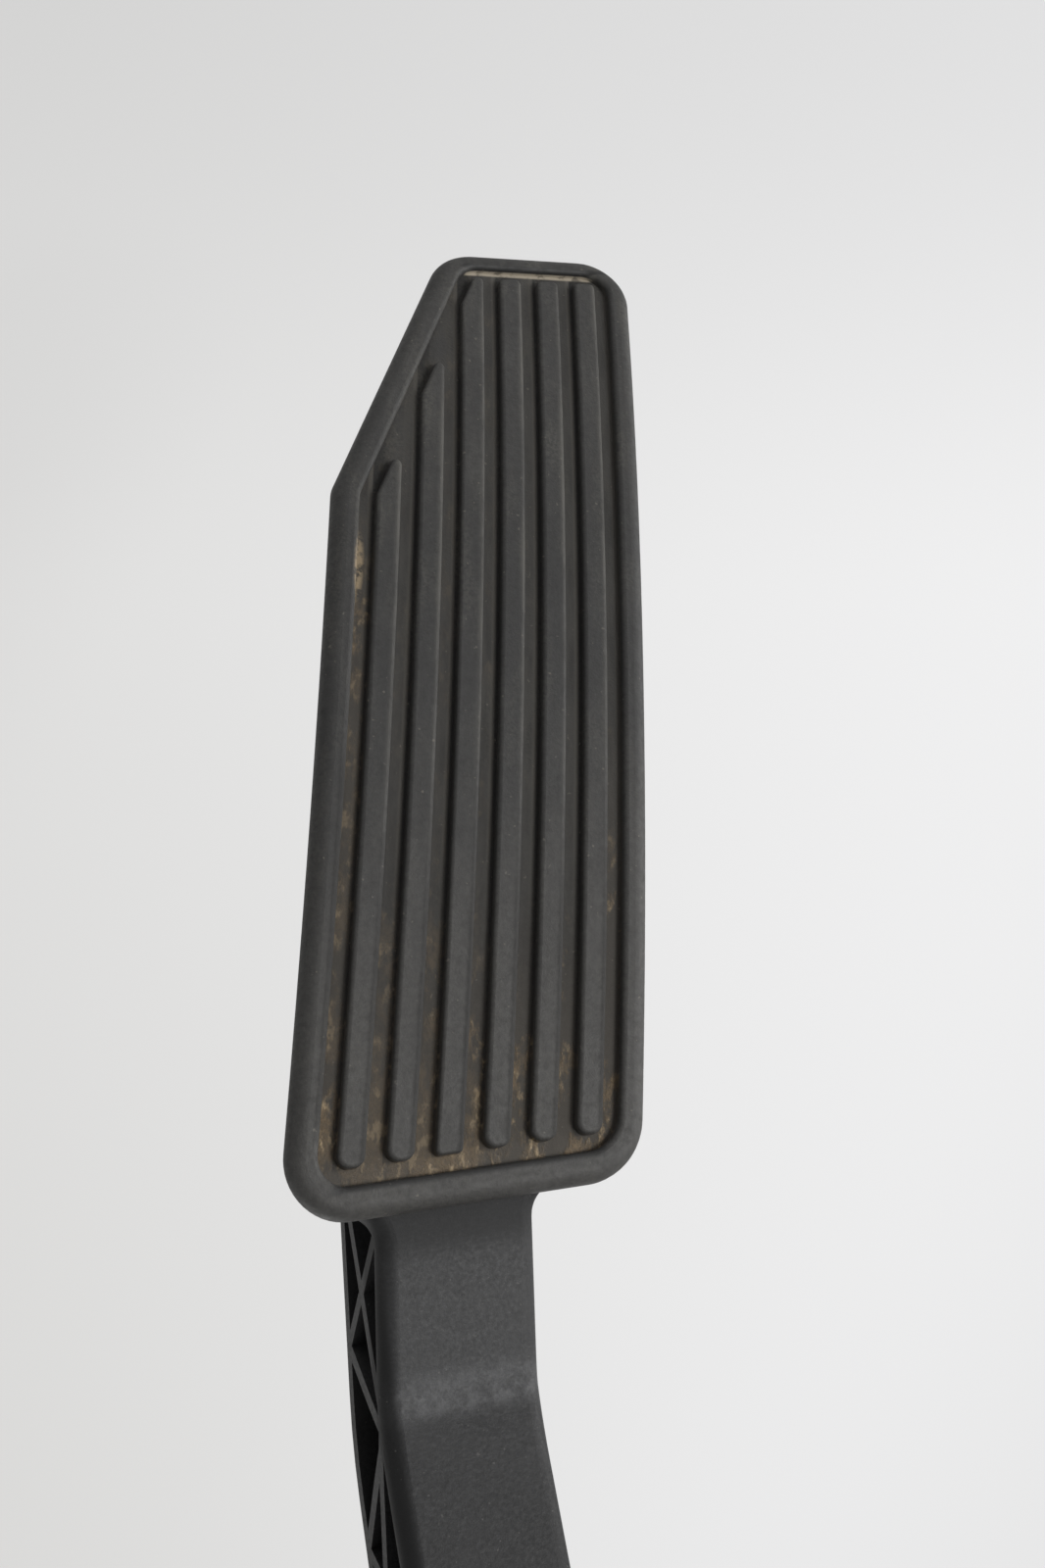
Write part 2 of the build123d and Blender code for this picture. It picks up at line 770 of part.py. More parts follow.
def make_sensor_cover():
    # Lid of the sensor chamber with the connector shroud moulded on
    cover = across(chamber_outline(), cover_x, shroud_x)
    cover = fillet(cover.faces().sort_by(Axis.X)[-1].outer_wire().edges(), lid_edge)
    for point in lobe_points:
        cover -= disc(cover_x, shroud_x, *point, screw_radius + seat_gap)
    shroud_low = pin_rise - shroud_foot
    shroud_high = socket_z + socket_depth
    shroud = Pos(pin_x, pivot_y) * Rectangle(socket_gap + 2 * socket_wall, socket_width + 2 * socket_wall)
    shroud = extrude(Pos(0, 0, shroud_low) * shroud, amount=shroud_high - shroud_low)
    uprights = shroud.edges().filter_by(Axis.Z).sort_by(Axis.X)[2:]
    shroud = fillet(uprights, shroud_round)
    socket = fillet(Rectangle(socket_gap, socket_width).vertices(), shroud_round / 2)
    cover += shroud
    cover -= extrude(Pos(pin_x, pivot_y, socket_z) * socket, amount=socket_depth)
    latch_x = shroud_x + socket_gap + 2 * socket_wall
    latch_top = shroud_high - latch_drop
    ramp = make_face(
        Polyline(
            (latch_x, latch_top),
            (latch_x + latch_step, latch_top - latch_height),
            (latch_x, latch_top - latch_height),
            close=True,
        )
    )
    ramp = extrude(Plane.XZ * ramp, amount=latch_width / 2, both=True)
    cover += Pos(0, pivot_y, 0) * ramp
    for y in pin_places():
        cover -= make_pin(y, seat_gap)
    return cover


def make_shoe():
    # Cup that slides in the housing, pressed by the cam and holding the springs
    low = cam_z - shoe_height / 2
    high = cam_z + shoe_height / 2
    back_y = shoe_face_y + shoe_length
    profile = make_face(
        Polyline(
            (shoe_face_y, low),
            (back_y, low),
            (back_y, high),
            (shoe_face_y + shoe_relief, high),
            (shoe_face_y, cam_z),
            close=True,
        )
    )
    body = across(profile, slide_gap - half_width, half_width - slide_gap)
    pocket = Circle(outer_coil + outer_wire + slide_gap) - Circle(spring_pilot)
    pocket = extrude(Plane.XZ * pocket, amount=shoe_pocket)
    return body - Pos(0, back_y, cam_z) * pocket


def make_spring(coil, wire, turns):
    # Compression spring with ground ends between the shoe and the housing
    seat_y = shoe_face_y + shoe_length - shoe_pocket
    length = -base - seat_y
    pitch = (length - 2 * wire) / turns
    path = Helix(pitch, length, coil)
    section = Plane(path @ 0, z_dir=path % 0) * Circle(wire)
    spring = sweep(section, path=path, is_frenet=True)
    spring &= Pos(0, 0, length / 2) * Box(4 * coil, 4 * coil, length)
    return Pos(0, -base, cam_z) * Rot(90, 0, 0) * spring


def flank(start_n, slope, lean, z):
    # Y where a straight flank of the arm, at the given lean from the vertical, passes a height
    line_y = -sin(lean) - tan(radians(slope)) * cos(lean)
    line_z = -cos(lean) + tan(radians(slope)) * sin(lean)
    reach = (z - start_n * sin(lean)) / line_z
    return pivot_y - start_n * cos(lean) + reach * line_y


def make_idle_stop():
    # Rubber wedge inside the lip, met by the face of the arm at rest
    low = lip_z
    high = lip_z / 4
    points = [(driver_y + wall, high), (driver_y + wall, low)]
    points += [(flank(pivot_depth, arm_angle, tilt, z) - stop_gap, z) for z in (low, high)]
    return across(make_face(Polyline(*points, close=True)), -cam_width / 2, cam_width / 2)


def make_full_stop():
    # Rubber block on the end of the housing floor, met by the back of the arm when pressed
    rear_start = rear_n(pivot_t) - pivot_n
    points = [(sill_y, guide_low), (sill_y, floor_z)]
    points += [
        (flank(rear_start, rear_angle, tilt - travel, z) + stop_gap, z) for z in (floor_z, guide_low)
    ]
    return across(make_face(Polyline(*points, close=True)), -cam_width / 2, cam_width / 2)


def make_sleeve(x, z):
    # Steel sleeve through a mounting lug
    ring = Pos(x, z) * (Circle(bolt_hole + sleeve_wall) - Circle(bolt_hole))
    return on_base(ring, lug_height)


pieces = {
    "tread_pad": [make_pad()],
    "pedal_arm": [make_arm()],
    "pivot_axle": [make_axle()],
    "axle_clip": [make_clip()],
    "right_bush": [make_bush(1)],
    "left_bush": [make_bush(-1)],
    "housing": [make_housing()],
    "side_cover": [make_side_cover()],
    "side_cover_screws": [make_screw(-outer_face_x, 1, screw_depth, point) for point in ear_points],
    "mount_sleeves": [make_sleeve(x, z) for x, z in bolt_points],
    "friction_shoe": [make_shoe()],
    "outer_spring": [make_spring(outer_coil, outer_wire, outer_turns)],
    "inner_spring": [make_spring(inner_coil, inner_wire, inner_turns)],
    "idle_stop": [make_idle_stop()],
    "full_stop": [make_full_stop()],
    "sensor_rotor": [make_rotor()],
    "sensor_magnet": [make_magnet(0)],
    "sensor_board": [make_board()],
    "hall_sensors": [make_chip(side) for side in (-1, 1)],
    "terminal_pins": [make_pin(y, 0) for y in pin_places()],
    "sensor_cover": [make_sensor_cover()],
    "sensor_gasket": [make_gasket()],
    "sensor_cover_screws": [make_screw(shroud_x, -1, screw_depth, point) for point in lobe_points],
}
for name, solids in pieces.items():
    export_step(Compound(children=solids) if len(solids) > 1 else solids[0], f"parts/{name}.step")
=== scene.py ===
import bpy
import math
from mathutils import Matrix, Vector


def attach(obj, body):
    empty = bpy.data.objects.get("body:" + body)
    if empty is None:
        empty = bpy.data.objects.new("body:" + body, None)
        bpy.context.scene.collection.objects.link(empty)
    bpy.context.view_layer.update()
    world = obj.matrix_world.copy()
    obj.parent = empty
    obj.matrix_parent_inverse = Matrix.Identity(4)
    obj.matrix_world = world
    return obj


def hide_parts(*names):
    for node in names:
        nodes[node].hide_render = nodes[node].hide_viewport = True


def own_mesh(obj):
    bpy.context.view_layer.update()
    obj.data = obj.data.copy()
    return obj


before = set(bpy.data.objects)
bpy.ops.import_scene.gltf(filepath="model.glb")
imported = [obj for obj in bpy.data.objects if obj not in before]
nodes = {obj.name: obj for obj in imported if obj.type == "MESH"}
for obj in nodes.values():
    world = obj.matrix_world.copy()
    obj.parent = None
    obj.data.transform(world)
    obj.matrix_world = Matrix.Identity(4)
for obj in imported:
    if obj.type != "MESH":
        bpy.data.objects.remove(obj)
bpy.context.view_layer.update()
scene = bpy.context.scene
print("frame loaded:", len(nodes), "nodes")

camera = {
    "lens": 42.75,  # mm
    "longSide": 36,  # mm, of the sensor
    "nearest": 0.01,
    "place": (0.08710, -0.31530, 0.04227),
    "aim": (-0.39783, 0.58517, -0.70662),
    "up": (-0.05482, -0.78398, -0.61837),  # the pedal is seen toe end up
}

studio = {
    "floorHeight": -0.36,
    "floorReach": 30.0,
    "floorColour": (0.78, 0.78, 0.778, 1),
    "floorRough": 0.9,
    "paleShare": 0.8,  # of the pale tone over the lit floor
    "paleLeft": (0.69, 0.685, 0.67),
    "paleRight": (0.91, 0.91, 0.915),
    "toRight": (-0.975, -0.22, 0),  # across the picture, on the floor
    "leftToRight": (-0.22, 0.34),  # where the darker left tone turns into the lighter right one, a painted light falloff
    "toFront": (0, -1, 0),
    "frontShade": (0.04, 0.24, 0, 0.17),  # painted shade: the floor in front of the pedal is a little darker
    "paleFar": (0.77, 0.77, 0.765),  # the far floor and the wall
    "farFloor": (0.6, 1.6),  # where the floor turns into the wall's tone
    "ambient": 0.22,
    "aim": (-0.01, -0.14, -0.12),
    "softboxes": {
        "keySoftbox": {"place": (-0.49, -0.78, 0.70), "size": 0.5, "power": 8.5, "spread": 180},
        "sideSoftbox": {"place": (-1.00, -0.48, 0.02), "size": 0.7, "power": 1.9, "spread": 100},  # spares the floor
        "backSoftbox": {"place": (0.30, 1.05, 0.35), "size": 0.8, "power": 6.0, "spread": 180},
    },
}


def linkObject(name, data):
    obj = bpy.data.objects.new(name, data)
    scene.collection.objects.link(obj)
    return obj


def placeCamera():
    data = bpy.data.cameras.new("photoCamera")
    data.lens = camera["lens"]
    data.sensor_width = camera["longSide"]
    data.sensor_fit = "AUTO"
    data.clip_start = camera["nearest"]
    obj = linkObject("photoCamera", data)
    aim = Vector(camera["aim"]).normalized()
    right = aim.cross(Vector(camera["up"])).normalized()
    up = right.cross(aim)
    turn = Matrix((right, up, -aim)).transposed()
    obj.matrix_world = Matrix.Translation(camera["place"]) @ turn.to_4x4()
    scene.camera = obj


def newMaterial(name):
    mat = bpy.data.materials.new(name)
    mat.use_nodes = True
    return mat, mat.node_tree, mat.node_tree.nodes["Principled BSDF"]


def addNode(tree, kind, inputs=(), **settings):
    node = tree.nodes.new(kind)
    for key, value in settings.items():
        setattr(node, key, value)
    for key, value in dict(inputs).items():
        if isinstance(value, bpy.types.NodeSocket):
            tree.links.new(value, node.inputs[key])
        else:
            node.inputs[key].default_value = value
    return node


def objectPoint(tree):
    return addNode(tree, "ShaderNodeTexCoord").outputs["Object"]


def mapped(tree, point, kind="POINT", **parts):
    node = addNode(tree, "ShaderNodeMapping", {"Vector": point, **parts}, vector_type=kind)
    return node.outputs["Vector"]


def noise(tree, point, scale, detail, rough):
    inputs = {"Vector": point, "Scale": scale, "Detail": detail, "Roughness": rough}
    return addNode(tree, "ShaderNodeTexNoise", inputs).outputs["Fac"]


def calc(tree, how, first, second=0.0, third=0.0):
    return addNode(tree, "ShaderNodeMath", {0: first, 1: second, 2: third}, operation=how).outputs[0]


def hypotenuse(tree, first, second):
    squares = calc(tree, "ADD", calc(tree, "POWER", first, 2.0), calc(tree, "POWER", second, 2.0))
    return calc(tree, "SQRT", squares)


def along(tree, point, way):
    return addNode(tree, "ShaderNodeVectorMath", {0: point, 1: way}, operation="DOT_PRODUCT").outputs["Value"]


def joined(tree, **parts):
    return addNode(tree, "ShaderNodeCombineXYZ", parts).outputs[0]


def fade(tree, value, low, high, toLow=0.0, toHigh=1.0):
    inputs = {"Value": value, "From Min": low, "From Max": high, "To Min": toLow, "To Max": toHigh}
    return addNode(tree, "ShaderNodeMapRange", inputs, interpolation_type="SMOOTHSTEP").outputs["Result"]


def blendColour(tree, share, first, second):
    node = addNode(tree, "ShaderNodeMix", {"Factor": share}, data_type="RGBA")
    for socket, value in ((node.inputs[6], first), (node.inputs[7], second)):
        if isinstance(value, bpy.types.NodeSocket):
            tree.links.new(value, socket)
        else:
            socket.default_value = (*value, 1)
    return node.outputs[2]


def bump(tree, height, strength, distance, normal=None):
    inputs = {"Height": height, "Strength": strength, "Distance": distance}
    if normal is not None:
        inputs["Normal"] = normal
    return addNode(tree, "ShaderNodeBump", inputs).outputs["Normal"]


def addPatterns(tree, on, patterns):
    for name, (field, scale, detail, rough) in patterns.items():
        on[name] = noise(tree, on[field], scale, detail, rough)


def combine(tree, on, parts, how="MULTIPLY"):
    values = []
    for part in parts:  # a number, a field, or a field with the range in which it fades
        if isinstance(part, tuple):
            part = fade(tree, on[part[0]], *part[1:])
        elif isinstance(part, str):
            part = on[part]
        values.append(part)
    result = values[0]
    for value in values[1:]:
        result = calc(tree, how, result, value)
    return result


def paint(tree, on, layers, tones):
    colour = tones["base"]
    for name, layer in layers.items():
        on[name] = combine(tree, on, layer["of"], layer.get("how", "MULTIPLY"))
        if "tone" in layer:  # the others only serve the layers after them
            share = combine(tree, on, [name, layer["share"]]) if "share" in layer else on[name]
            colour = blendColour(tree, share, colour, tones[layer["tone"]])
    return colour


def feed(tree, shader, colour, rough, normal):
    tree.links.new(colour, shader.inputs["Base Color"])
    tree.links.new(rough, shader.inputs["Roughness"])
    tree.links.new(normal, shader.inputs["Normal"])


def dress(mat, *names):
    for name in names:
        nodes[name].data.materials.clear()
        nodes[name].data.materials.append(mat)


def seenDirectly(tree):
    path = addNode(tree, "ShaderNodeLightPath").outputs
    mirrored = calc(tree, "MAXIMUM", path["Is Glossy Ray"], path["Is Transmission Ray"])
    return calc(tree, "MAXIMUM", path["Is Camera Ray"], mirrored)


def mixShaders(tree, share, first, second, output):
    mix = addNode(tree, "ShaderNodeMixShader", {0: share})
    tree.links.new(first.outputs[0], mix.inputs[1])
    tree.links.new(second.outputs[0], mix.inputs[2])
    tree.links.new(mix.outputs[0], tree.nodes[output].inputs["Surface"])


def makeFloor():
    mesh = bpy.data.meshes.new("paleFloor")
    reach = studio["floorReach"]
    corners = [(-reach, -reach), (reach, -reach), (reach, reach), (-reach, reach)]
    mesh.from_pydata([(x, y, studio["floorHeight"]) for x, y in corners], [], [(0, 1, 2, 3)])
    floor = linkObject("paleFloor", mesh)
    mat, tree, shader = newMaterial("paleFloor")
    shader.inputs["Base Color"].default_value = studio["floorColour"]
    shader.inputs["Roughness"].default_value = studio["floorRough"]
    point = objectPoint(tree)
    # the glow seen directly carries a painted light falloff: darker on the left and in front
    toRight = fade(tree, along(tree, point, studio["toRight"]), *studio["leftToRight"])
    pale = blendColour(tree, toRight, studio["paleLeft"], studio["paleRight"])
    toFront = fade(tree, along(tree, point, studio["toFront"]), *studio["frontShade"])
    pale = blendColour(tree, toFront, pale, (0, 0, 0))
    away = addNode(tree, "ShaderNodeVectorMath", {0: point}, operation="LENGTH").outputs["Value"]
    pale = blendColour(tree, fade(tree, away, *studio["farFloor"]), pale, studio["paleFar"])
    share = fade(tree, away, *studio["farFloor"], studio["paleShare"], 1.0)
    glow = addNode(tree, "ShaderNodeEmission", {"Color": pale, "Strength": 1.0})
    mixShaders(tree, calc(tree, "MULTIPLY", seenDirectly(tree), share), shader, glow, "Material Output")
    mesh.materials.append(mat)


def addSoftbox(name, place, size, power, spread):
    data = bpy.data.lights.new(name, "AREA")
    data.shape = "DISK"
    data.size = size
    data.energy = power
    data.spread = math.radians(spread)
    box = linkObject(name, data)
    box.location = place
    box.rotation_euler = (Vector(studio["aim"]) - Vector(place)).to_track_quat("-Z", "Y").to_euler()


def lightStudio():
    for name, box in studio["softboxes"].items():
        addSoftbox(name, **box)
    world = bpy.data.worlds.new("studioAir")
    world.use_nodes = True
    tree = world.node_tree
    air = tree.nodes["Background"]
    air.inputs["Color"].default_value = (1, 1, 1, 1)
    air.inputs["Strength"].default_value = studio["ambient"]
    wall = addNode(tree, "ShaderNodeBackground", {"Color": (*studio["paleFar"], 1), "Strength": 1.0})
    mixShaders(tree, seenDirectly(tree), air, wall, "World Output")
    scene.world = world
    scene.view_settings.view_transform = "Standard"


placeCamera()
makeFloor()
lightStudio()
print("camera, floor and light in place")

trayToe = 0.0759  # ends of the pad's tray, from the middle of the pad
trayHeel = -0.0751
traySide = 0.0215
trayRim = 0.0042  # rim beside the slanted toe corner
trayBlur = 0.0004

tread = {
    "middle": (-0.0216, -0.165205, -0.169952),  # middle of the pad face
    "lean": 62.0,  # the face from flat, degrees
    "splay": 13.25,  # ribs from the plane of the arm, degrees
    "knee": 17.5,  # slanted toe corner from the ribs, degrees
    "kneeSet": 0.03209,  # middle of the pad to that corner's side
    "crown": 0.705,  # radius of the face along the pad
    "pitch": 0.0068,  # rib to rib
    "flowStretch": 0.2,  # streaks along the ribs
    "laneStretch": 0.5,  # dirt along the grooves
    "crumb": {"across": -0.0211, "along": 0.012, "halfWidth": 0.0010, "halfLength": 0.0062},  # caked spot
    "specular": 0.4,
    "grainBump": (0.3, 0.0002),  # strength, distance
    "dirtBump": (0.6, 0.0003),
    "mottleBump": (0.25, 0.0007),
    "tones": {
        "base": (0.0225, 0.022, 0.0215),
        # tone of wear, and of painted light on rib flanks and the arm's bend
        "wornAndLit": (0.052, 0.051, 0.0495),
        "deep": (0.010, 0.0098, 0.0095),
        "film": (0.078, 0.068, 0.056),
        "dirt": (0.165, 0.122, 0.076),
        "grit": (0.40, 0.31, 0.195),
        "dust": (0.17, 0.155, 0.13),
        # pale rubber, used for pale dust and for painted light at the ends of the pad
        "paleRubberAndLight": (0.062, 0.0595, 0.055),
        "toeDustAndLight": (0.38, 0.335, 0.265),
        # painted highlight on the rib edges
        "crest": (0.090, 0.087, 0.079),
        "ribDust": (0.070, 0.067, 0.058),
        "bedDustAndLight": (0.115, 0.107, 0.094),
    },
    "patterns": {  # field, scale, detail, roughness
        "mottle": ("point", 60, 4, 0.6),
        "streak": ("flow", 480, 3, 0.6),
        "cloud": ("point", 38, 4, 0.65),
        "pepper": ("point", 1150, 3, 0.7),
        "rubbing": ("flow", 210, 4, 0.65),
        "drift": ("flow", 190, 5, 0.66),
        "powder": ("point", 1900, 2, 0.5),
        "stain": ("lane", 280, 5, 0.66),
        "crumbs": ("point", 1300, 3, 0.6),
        "pockets": ("point", 48, 2, 0.5),
        "gravel": ("lane", 640, 3, 0.6),
        "cake": ("point", 700, 3, 0.6),
        "toeGrain": ("point", 500, 3, 0.6),
        "specks": ("point", 1300, 1, 0.4),
        "sheen": ("point", 900, 2, 0.5),
        "grain": ("point", 2600, 3, 0.6),
    },
    "layers": {
        "inTray": {
            "of": [
                ("byRim", traySide, traySide + trayBlur, 1, 0),
                ("toToe", trayToe, trayToe + trayBlur, 1, 0),
                ("toToe", trayHeel - trayBlur, trayHeel),
                ("fromKnee", trayRim - trayBlur, trayRim),
            ],
        },
        "groove": {"of": [("depth", 0.0006, 0.0015), "inTray"]},
        "toHeel": {"of": [("toToe", 0.070, -0.080)]},
        # random wear, and painted light that lightens the rib tops towards the heel
        "wearAndHeelLight": {
            "of": [("mottle", 0.36, 0.66, 0.2, 1.0), ("streak", 0.3, 0.7, 0.3, 1.0), ("toHeel", 0, 1, 0.4, 0.6)],
            "tone": "wornAndLit",
        },
        # painted light: the pad is lighter towards the heel and the toe, and darker in the middle
        "heelLight": {"of": [("toToe", 0.01, -0.070)], "share": 0.55, "tone": "paleRubberAndLight"},
        "toeLight": {"of": [("toToe", 0.0, 0.045)], "share": 0.2, "tone": "paleRubberAndLight"},
        "midPadShade": {"of": [("toToe", -0.045, -0.020), ("toToe", 0.045, 0.020)], "share": 0.5, "tone": "base"},
        "patches": {
            "of": [("cloud", 0.44, 0.62), ("streak", 0.35, 0.65, 0.4, 1.0)],
            "share": 0.35,
            "tone": "paleRubberAndLight",
        },
        "speckle": {"of": [("pepper", 0.36, 0.64, 0.0, 0.32)], "tone": "deep"},
        "crest": {"of": [("stride", 0.60, 0.74), ("stride", 0.80, 0.90, 1, 0), "inTray"]},
        "rubbedAndLit": {  # painted highlight and some rubbing on the lit edge of each rib
            "of": [
                "crest",
                ("depth", 0.0008, 0.0017, 1, 0),
                ("rubbing", 0.38, 0.60, 0.2, 1.0),
                ("toToe", -0.06, 0.03, 0.0, 0.85),
            ],
            "tone": "crest",
        },
        "besideRibs": {"of": ["groove", ("toToe", trayHeel + 0.0016, trayHeel + 0.0030)]},
        # painted light on the lit right-hand flank of each rib
        "flank": {
            "of": ["besideRibs", ("stride", 0.78, 1.0, 1, 0), ("stride", 0.5, 0.7)],
            "share": 0.55,
            "tone": "wornAndLit",
        },
        "bed": {"how": "MAXIMUM", "of": [("stride", 0.80, 0.88), ("stride", 0.18, 0.14)]},  # floor of each groove
        "bedFilm": {
            "of": ["besideRibs", "bed", ("streak", 0.34, 0.62, 0.5, 1.0), ("toToe", -0.055, -0.02, 0.1, 0.75)],
            "tone": "paleRubberAndLight",
        },
        "bedDustAndLight": {  # pale dust and painted light that lifts the rib's cast shadow along the shaded side of each groove
            "of": [
                "besideRibs",
                ("stride", 0.03, 0.10),
                ("stride", 0.18, 0.15),
                ("toToe", -0.055, -0.02, 0.0, 0.5),
            ],
            "tone": "bedDustAndLight",
        },
        # painted shadow that each rib casts on the groove beside its near wall
        "corner": {
            "of": ["besideRibs", ("stride", 0.16, 0.20), ("stride", 0.5, 0.4)],
            "share": 0.6,
            "tone": "deep",
        },
        # painted shade over the highlight on the rib crests at the heel and on the near rim's inner edge; these places
        # are also rougher
        "dullShadedCrest": {"of": ["crest", ("byRim", 0.0204, 0.0210, 1, 0), ("toToe", -0.01, -0.05)]},
        "dullShadedRim": {
            "of": [
                ("across", -0.0227, -0.0221),
                ("across", -0.0212, -0.0206, 1, 0),
                ("toToe", 0.0, -0.03),
                ("toToe", trayHeel + 0.003, trayHeel + 0.012),
            ],
        },
        "dull": {"how": "MAXIMUM", "of": ["dullShadedCrest", "dullShadedRim"], "share": 0.6, "tone": "base"},
        "ribDust": {
            "of": [("drift", 0.46, 0.66), ("powder", 0.36, 0.6), ("toToe", -0.03, 0.06, 0.25, 0.6)],
            "tone": "ribDust",
        },
        "settled": {"of": [("toToe", -0.056, -0.070), 0.07]},  # most of the dirt lies against the heel rim
        "cleaner": {"of": [("across", -0.006, 0.010, 0.03, -0.09)]},  # and less of it on the far side
        "leaning": {"how": "ADD", "of": ["settled", "cleaner"]},
        "piled": {"how": "ADD", "of": ["stain", "leaning"]},
        "blotch": {"of": [("piled", 0.46, 0.60)]},
        "crumbly": {"of": [("crumbs", 0.34, 0.60, 0.55, 1.0)]},
        "heelDirt": {"of": [("toToe", -0.030, -0.070)]},
        "nearDirt": {"of": [("across", -0.0180, -0.0200), ("toToe", 0.035, 0.0), 0.75]},
        "farDirt": {"of": [("across", 0.0180, 0.0200), ("toToe", 0.0, -0.04), 0.7]},
        "amount": {"how": "MAXIMUM", "of": ["heelDirt", "nearDirt", "farDirt", 0.06]},
        "swept": {"of": [("corner", 0.2, 0.9, 1.0, 0.35)]},  # the dirt is thinned where the painted rib shadow lies, so that it stays dark
        "film": {"of": ["groove", "amount", "swept"], "share": 0.65, "tone": "film"},
        "lodged": {"of": [("pockets", 0.42, 0.58, 0.35, 1.0)]},
        "dirt": {
            "of": ["groove", "amount", "swept", "blotch", "crumbly", "lodged"],
            "share": 0.95,
            "tone": "dirt",
        },
        "grit": {
            "of": ["groove", "amount", ("gravel", 0.52, 0.64), "blotch", "lodged"],
            "share": 0.8,
            "tone": "grit",
        },
        "crumb": {"of": [("fromCrumb", 0.5, 1.2, 1, 0), ("cake", 0.38, 0.56)], "share": 0.65, "tone": "grit"},
        # painted shade on the rounded inner edge of the toe rim
        "toeEdgeShade": {
            "of": [
                ("toToe", trayToe - 0.0003, trayToe),
                ("toToe", trayToe + 0.0004, trayToe + 0.0009, 1, 0),
                ("byRim", traySide, traySide + trayBlur, 1, 0),
                ("fromKnee", trayRim - trayBlur, trayRim),
            ],
            "share": 0.85,
            "tone": "deep",
        },
        # painted shadow along the heel end of the tray, next to the rim
        "heelEdgeShade": {
            "of": [
                ("toToe", trayHeel - 0.0013, trayHeel - 0.0007),
                ("toToe", trayHeel - 0.0001, trayHeel + 0.0005, 1, 0),
                ("byRim", 0.0185, 0.0205, 1, 0),
            ],
            "share": 0.85,
            "tone": "deep",
        },
        "toeDustAndLight": {  # pale dust and painted light in a line along the lit toe wall of the tray
            "of": [
                ("toToe", trayToe - 0.0008, trayToe - 0.0004),
                ("depth", 0.0009, 0.0013),
                "inTray",
                ("toeGrain", 0.36, 0.52, 0.4, 1.0),
            ],
            "tone": "toeDustAndLight",
        },
        "fleck": {"of": [("specks", 0.735, 0.80)], "share": 0.42, "tone": "dust"},
        "soft": {"how": "MAXIMUM", "of": ["groove", "dull", "rubbedAndLit"]},
        "softer": {"of": ["soft", 0.7]},
        "matte": {"how": "ADD", "of": ["sheen", "softer"]},
        "rough": {"of": [("matte", 0.2, 1.2, 0.56, 0.85)]},
    },
}


def padFields(tree):
    point = objectPoint(tree)
    turn = (math.radians(tread["lean"]), 0, 0)
    pad = mapped(tree, point, "TEXTURE", Location=tread["middle"], Rotation=turn)
    splay = math.radians(tread["splay"])
    slant = math.radians(tread["splay"] + tread["knee"])
    across = along(tree, pad, (-math.cos(splay), math.sin(splay), 0))
    alongRibs = along(tree, pad, (-math.sin(splay), -math.cos(splay), 0))
    fromKnee = along(tree, pad, (-math.cos(slant), math.sin(slant), 0))
    toToe = along(tree, pad, (0, -1, 0))
    swing = calc(tree, "ADD", along(tree, pad, (0, 0, 1)), tread["crown"])
    crumb = tread["crumb"]
    crumbAcross = calc(tree, "DIVIDE", calc(tree, "SUBTRACT", across, crumb["across"]), crumb["halfWidth"])
    crumbAlong = calc(tree, "DIVIDE", calc(tree, "SUBTRACT", alongRibs, crumb["along"]), crumb["halfLength"])
    return {
        "point": point,
        "across": across,
        "byRim": calc(tree, "ABSOLUTE", across),
        "toToe": toToe,
        "fromKnee": calc(tree, "ADD", fromKnee, tread["kneeSet"]),
        "depth": calc(tree, "SUBTRACT", tread["crown"], hypotenuse(tree, swing, toToe)),  # below the crowned face
        "stride": calc(tree, "FRACT", calc(tree, "DIVIDE", across, tread["pitch"])),  # 0 mid-groove, 0.5 mid-rib
        "flow": joined(tree, X=across, Y=calc(tree, "MULTIPLY", alongRibs, tread["flowStretch"])),
        "lane": joined(tree, X=across, Y=calc(tree, "MULTIPLY", alongRibs, tread["laneStretch"])),
        "fromCrumb": hypotenuse(tree, crumbAcross, crumbAlong),
    }


def makeTreadRubber():
    mat, tree, shader = newMaterial("treadRubber")
    on = padFields(tree)
    addPatterns(tree, on, tread["patterns"])
    colour = paint(tree, on, tread["layers"], tread["tones"])
    grain = bump(tree, on["grain"], *tread["grainBump"])
    caked = bump(tree, on["dirt"], *tread["dirtBump"], grain)
    normal = bump(tree, on["mottle"], *tread["mottleBump"], caked)
    feed(tree, shader, colour, on["rough"], normal)
    shader.inputs["Specular IOR Level"].default_value = tread["specular"]
    return mat


